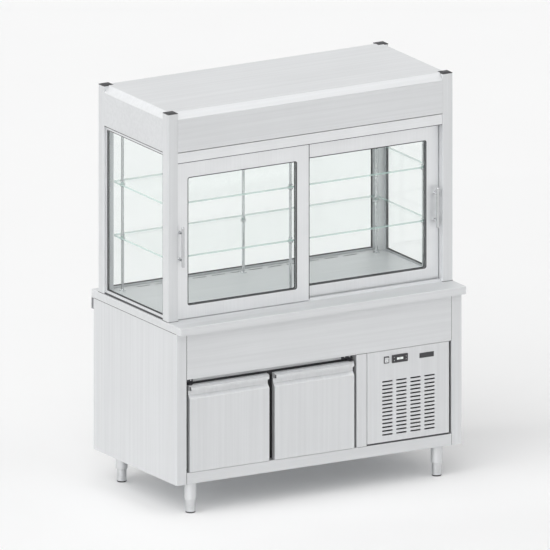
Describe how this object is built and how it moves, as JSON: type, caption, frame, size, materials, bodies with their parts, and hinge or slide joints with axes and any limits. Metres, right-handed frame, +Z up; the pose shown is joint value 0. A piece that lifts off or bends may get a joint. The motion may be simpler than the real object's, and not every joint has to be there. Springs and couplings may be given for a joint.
{
  "type": "refrigerated display counter",
  "caption": "Stainless refrigerated counter with hinged doors below the worktop and a glazed display case with sliding doors, shelves and lamp above it.",
  "frame": {"origin": "on the floor, below the centre of the worktop", "axes": "+X to the operator's right, +Y from the operator's side to the customer's side, +Z up"},
  "size_m": [1.4, 0.76, 1.755],
  "materials": {
    "satin_steel": "satin brushed",
    "galvanised_steel": "galvanised",
    "bright_steel": "polished",
    "glass": "clear",
    "foam_panel": "steel-faced foam",
    "black_plastic": "fine grain",
    "dark_rubber": "matt",
    "grey_plastic": "gloss",
    "black_paint": "semi-gloss paint",
    "aluminium": "satin anodised",
    "copper": "drawn copper tube",
    "lamp_diffuser": "opal"
  },
  "bodies": {
    "cabinet": {"base_pan": "galvanised_steel", "bottom_rail": "satin_steel", "side_panel_left": "satin_steel", "side_panel_right": "satin_steel", "rear_panel": "satin_steel", "lower_fascia": "satin_steel", "divider_post": "satin_steel", "worktop": "satin_steel", "worktop_rail": "satin_steel", "leg_sleeves": "satin_steel", "door_surround": "black_plastic", "insulated_box": "foam_panel", "hinge_brackets": "black_paint", "wire_shelves": "bright_steel", "cold_box_evaporator": "aluminium", "louvre_panel": "satin_steel", "switch_housing": "black_plastic", "controller_housing": "black_plastic", "blank_plate": "black_plastic", "condensing_tray": "galvanised_steel", "compressor": "black_paint", "condenser_coil": "aluminium", "fan_shroud": "galvanised_steel", "cable_gland": "black_plastic", "copper_pipes": "copper", "corner_posts": "satin_steel", "post_caps": "black_plastic", "roof_panel": "satin_steel", "upper_fascias": "satin_steel", "door_tracks": "aluminium", "display_deck": "satin_steel", "fixed_glass": "glass", "glass_channels": "aluminium", "ceiling_panel": "satin_steel", "lamp": "lamp_diffuser", "glass_shelves": "glass", "shelf_uprights": "bright_steel"},
    "hinged_door_left": {"door_skin_left": "satin_steel", "door_liner_left": "grey_plastic", "door_gasket_left": "dark_rubber"},
    "sliding_door_left": {"sliding_door_left_frame": "aluminium", "sliding_door_left_glass": "glass", "sliding_door_left_handle": "bright_steel"},
    "hinged_door_right": {"door_skin_right": "satin_steel", "door_liner_right": "grey_plastic", "door_gasket_right": "dark_rubber"},
    "sliding_door_right": {"sliding_door_right_frame": "aluminium", "sliding_door_right_glass": "glass", "sliding_door_right_handle": "bright_steel"},
    "rocker": {"rocker_switch": "grey_plastic"},
    "button_set_cap": {"button_set": "black_plastic"},
    "button_defrost_cap": {"button_defrost": "black_plastic"},
    "button_up_cap": {"button_up": "black_plastic"},
    "button_down_cap": {"button_down": "black_plastic"},
    "condenser_fan_wheel": {"condenser_fan": "black_paint"},
    "evaporator_fan_wheel": {"evaporator_fan": "black_plastic"},
    "foot_front_left_unit": {"foot_front_left": "satin_steel"},
    "foot_front_right_unit": {"foot_front_right": "satin_steel"},
    "foot_rear_left_unit": {"foot_rear_left": "satin_steel"},
    "foot_rear_right_unit": {"foot_rear_right": "satin_steel"}
  },
  "joints": [
    {"name": "slide_left_door", "type": "slide", "parent": "cabinet", "child": "sliding_door_left", "axis": [1, 0, 0], "range_m": [0, 0.612]},
    {"name": "slide_right_door", "type": "slide", "parent": "cabinet", "child": "sliding_door_right", "axis": [1, 0, 0], "range_m": [-0.598, 0]},
    {"name": "swing_left_door", "type": "hinge", "parent": "cabinet", "child": "hinged_door_left", "pos_m": [-0.6257, -0.3315, 0.38], "axis": [0, 0, -1], "range_deg": [0, 95]},
    {"name": "swing_right_door", "type": "hinge", "parent": "cabinet", "child": "hinged_door_right", "pos_m": [0.1606, -0.3315, 0.38], "axis": [0, 0, 1], "range_deg": [0, 95]},
    {"name": "rock_switch", "type": "hinge", "parent": "cabinet", "child": "rocker", "pos_m": [0.33, -0.341, 0.555], "axis": [-1, 0, 0], "range_deg": [0, 24]},
    {"name": "spin_condenser_fan", "type": "hinge", "parent": "cabinet", "child": "condenser_fan_wheel", "pos_m": [0.44, -0.2, 0.282], "axis": [0, 1, 0], "continuous": true},
    {"name": "spin_evaporator_fan", "type": "hinge", "parent": "cabinet", "child": "evaporator_fan_wheel", "pos_m": [-0.232, 0.2, 0.515], "axis": [0, 1, 0], "continuous": true},
    {"name": "press_set", "type": "slide", "parent": "cabinet", "child": "button_set_cap", "axis": [0, 1, 0], "range_m": [0, 0.001], "stiffness_N_per_m": 200},
    {"name": "press_defrost", "type": "slide", "parent": "cabinet", "child": "button_defrost_cap", "axis": [0, 1, 0], "range_m": [0, 0.001], "stiffness_N_per_m": 200},
    {"name": "press_up", "type": "slide", "parent": "cabinet", "child": "button_up_cap", "axis": [0, 1, 0], "range_m": [0, 0.001], "stiffness_N_per_m": 200},
    {"name": "press_down", "type": "slide", "parent": "cabinet", "child": "button_down_cap", "axis": [0, 1, 0], "range_m": [0, 0.001], "stiffness_N_per_m": 200},
    {"name": "level_foot_front_left", "type": "slide", "parent": "cabinet", "child": "foot_front_left_unit", "axis": [0, 0, -1], "range_m": [0, 0.03]},
    {"name": "level_foot_front_right", "type": "slide", "parent": "cabinet", "child": "foot_front_right_unit", "axis": [0, 0, -1], "range_m": [0, 0.03]},
    {"name": "level_foot_rear_left", "type": "slide", "parent": "cabinet", "child": "foot_rear_left_unit", "axis": [0, 0, -1], "range_m": [0, 0.03]},
    {"name": "level_foot_rear_right", "type": "slide", "parent": "cabinet", "child": "foot_rear_right_unit", "axis": [0, 0, -1], "range_m": [0, 0.03]}
  ]
}
